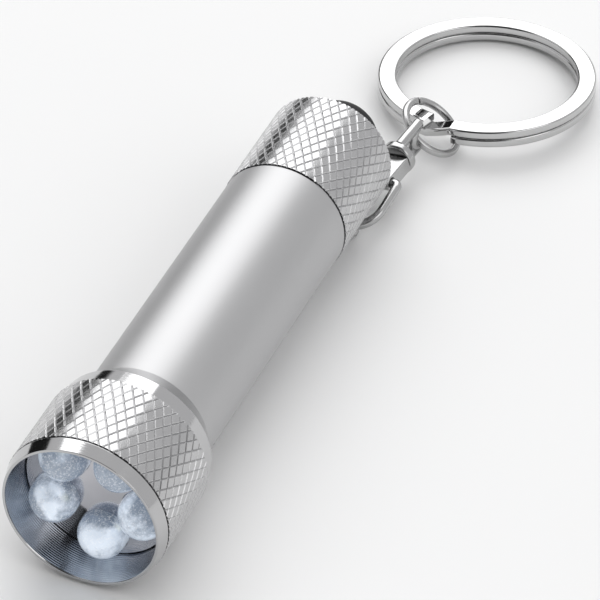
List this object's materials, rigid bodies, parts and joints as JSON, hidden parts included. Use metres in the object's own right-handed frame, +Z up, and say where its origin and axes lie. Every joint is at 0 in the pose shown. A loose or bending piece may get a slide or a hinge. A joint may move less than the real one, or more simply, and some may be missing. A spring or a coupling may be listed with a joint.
{
  "type": "keychain flashlight",
  "caption": "Small keychain flashlight: knurled turned metal body with a ring of LEDs in the head, screw-on tail cap with a push button, and a swivel link carrying a split key ring.",
  "frame": {"origin": "centre of the front rim's flat lip, on the flashlight's axis", "axes": "+Y along the flashlight's axis from the front rim to the tail; +Z up as it lies on a table; +X to its right, seen from the tail with +Z up"},
  "size_m": [0.0281, 0.0997, 0.0172],
  "materials": {
    "bright_aluminium": "turned and knurled, bright silver anodised",
    "plate_grey": "satin",
    "black_plastic": "matt",
    "clear_epoxy": "clear and glossy",
    "tinned_steel": "tinned",
    "board_green": "glossy coating",
    "brass": "bright",
    "white_plastic": "satin",
    "cell_steel": "bright nickel plate",
    "black_rubber": "smooth and matt",
    "spring_steel": "bright drawn wire",
    "nickel_steel": "polished nickel plate"
  },
  "bodies": {
    "flashlight": {"body": "bright_aluminium", "led_plate": "plate_grey", "led_holder": "black_plastic", "led_1": "clear_epoxy", "led_2": "clear_epoxy", "led_3": "clear_epoxy", "led_4": "clear_epoxy", "led_5": "clear_epoxy", "led_leads": "tinned_steel", "circuit_board": "board_green", "resistor": "black_plastic", "positive_contact": "brass", "insulating_sleeve": "white_plastic", "cell_1": "cell_steel", "cell_2": "cell_steel", "cell_3": "cell_steel", "cell_4": "cell_steel", "cell_seals": "black_rubber"},
    "cap_spring": {"battery_spring": "spring_steel"},
    "cap": {"tail_cap": "bright_aluminium", "sealing_ring": "black_rubber", "switch_housing": "black_plastic", "switch_rivet": "brass", "fixed_contact": "brass", "switch_spring": "spring_steel", "key_lug": "nickel_steel"},
    "button": {"push_button": "black_rubber", "switch_plunger": "white_plastic", "moving_contact": "brass"},
    "bail": {"bail": "nickel_steel"},
    "swivel": {"swivel_block": "nickel_steel", "swivel_rivet": "nickel_steel"},
    "eye": {"swivel_eye": "nickel_steel"},
    "jump": {"jump_ring": "nickel_steel"},
    "keyring": {"split_ring": "nickel_steel"}
  },
  "joints": [
    {"name": "cap_travel", "type": "slide", "parent": "flashlight", "child": "cap_spring", "axis": [0, 1, 0], "range_m": [0, 0.0045], "deforming": ["battery_spring"]},
    {"name": "cap_unscrew", "type": "hinge", "parent": "cap_spring", "child": "cap", "pos_m": [0, 0.0558, 0], "axis": [0, 1, 0], "range_deg": [0, 2160]},
    {"name": "button_press", "type": "slide", "parent": "cap", "child": "button", "axis": [0, -1, 0], "range_m": [0, 0.0012], "stiffness_N_per_m": 900, "deforming": ["switch_spring"]},
    {"name": "bail_swing", "type": "hinge", "parent": "cap", "child": "bail", "pos_m": [0.00313, 0.0596, -0.00721], "axis": [0.9562, -0.1754, 0.2341], "range_deg": [-60, 2]},
    {"name": "swivel_tilt", "type": "hinge", "parent": "bail", "child": "swivel", "pos_m": [0.00388, 0.06585, -0.00557], "axis": [0.9562, -0.1754, 0.2341], "range_deg": [-45, 25]},
    {"name": "eye_spin", "type": "hinge", "parent": "swivel", "child": "eye", "pos_m": [0.00458, 0.07036, -0.00507], "axis": [0.1535, 0.9821, 0.1088], "continuous": true},
    {"name": "jump_ring_turn", "type": "hinge", "parent": "eye", "child": "jump", "pos_m": [0.00561, 0.07653, -0.00551], "axis": [0.5863, 0.0918, 0.8049], "range_deg": [-42, 18]},
    {"name": "split_ring_turn", "type": "hinge", "parent": "jump", "child": "keyring", "pos_m": [0.00765, 0.08783, -0.00654], "axis": [-0.0309, 0.0731, 0.9968], "continuous": true}
  ],
  "couplings": [
    {"joint": "cap_unscrew", "follows": "cap_travel", "rad_per_m": 8377.6}
  ]
}
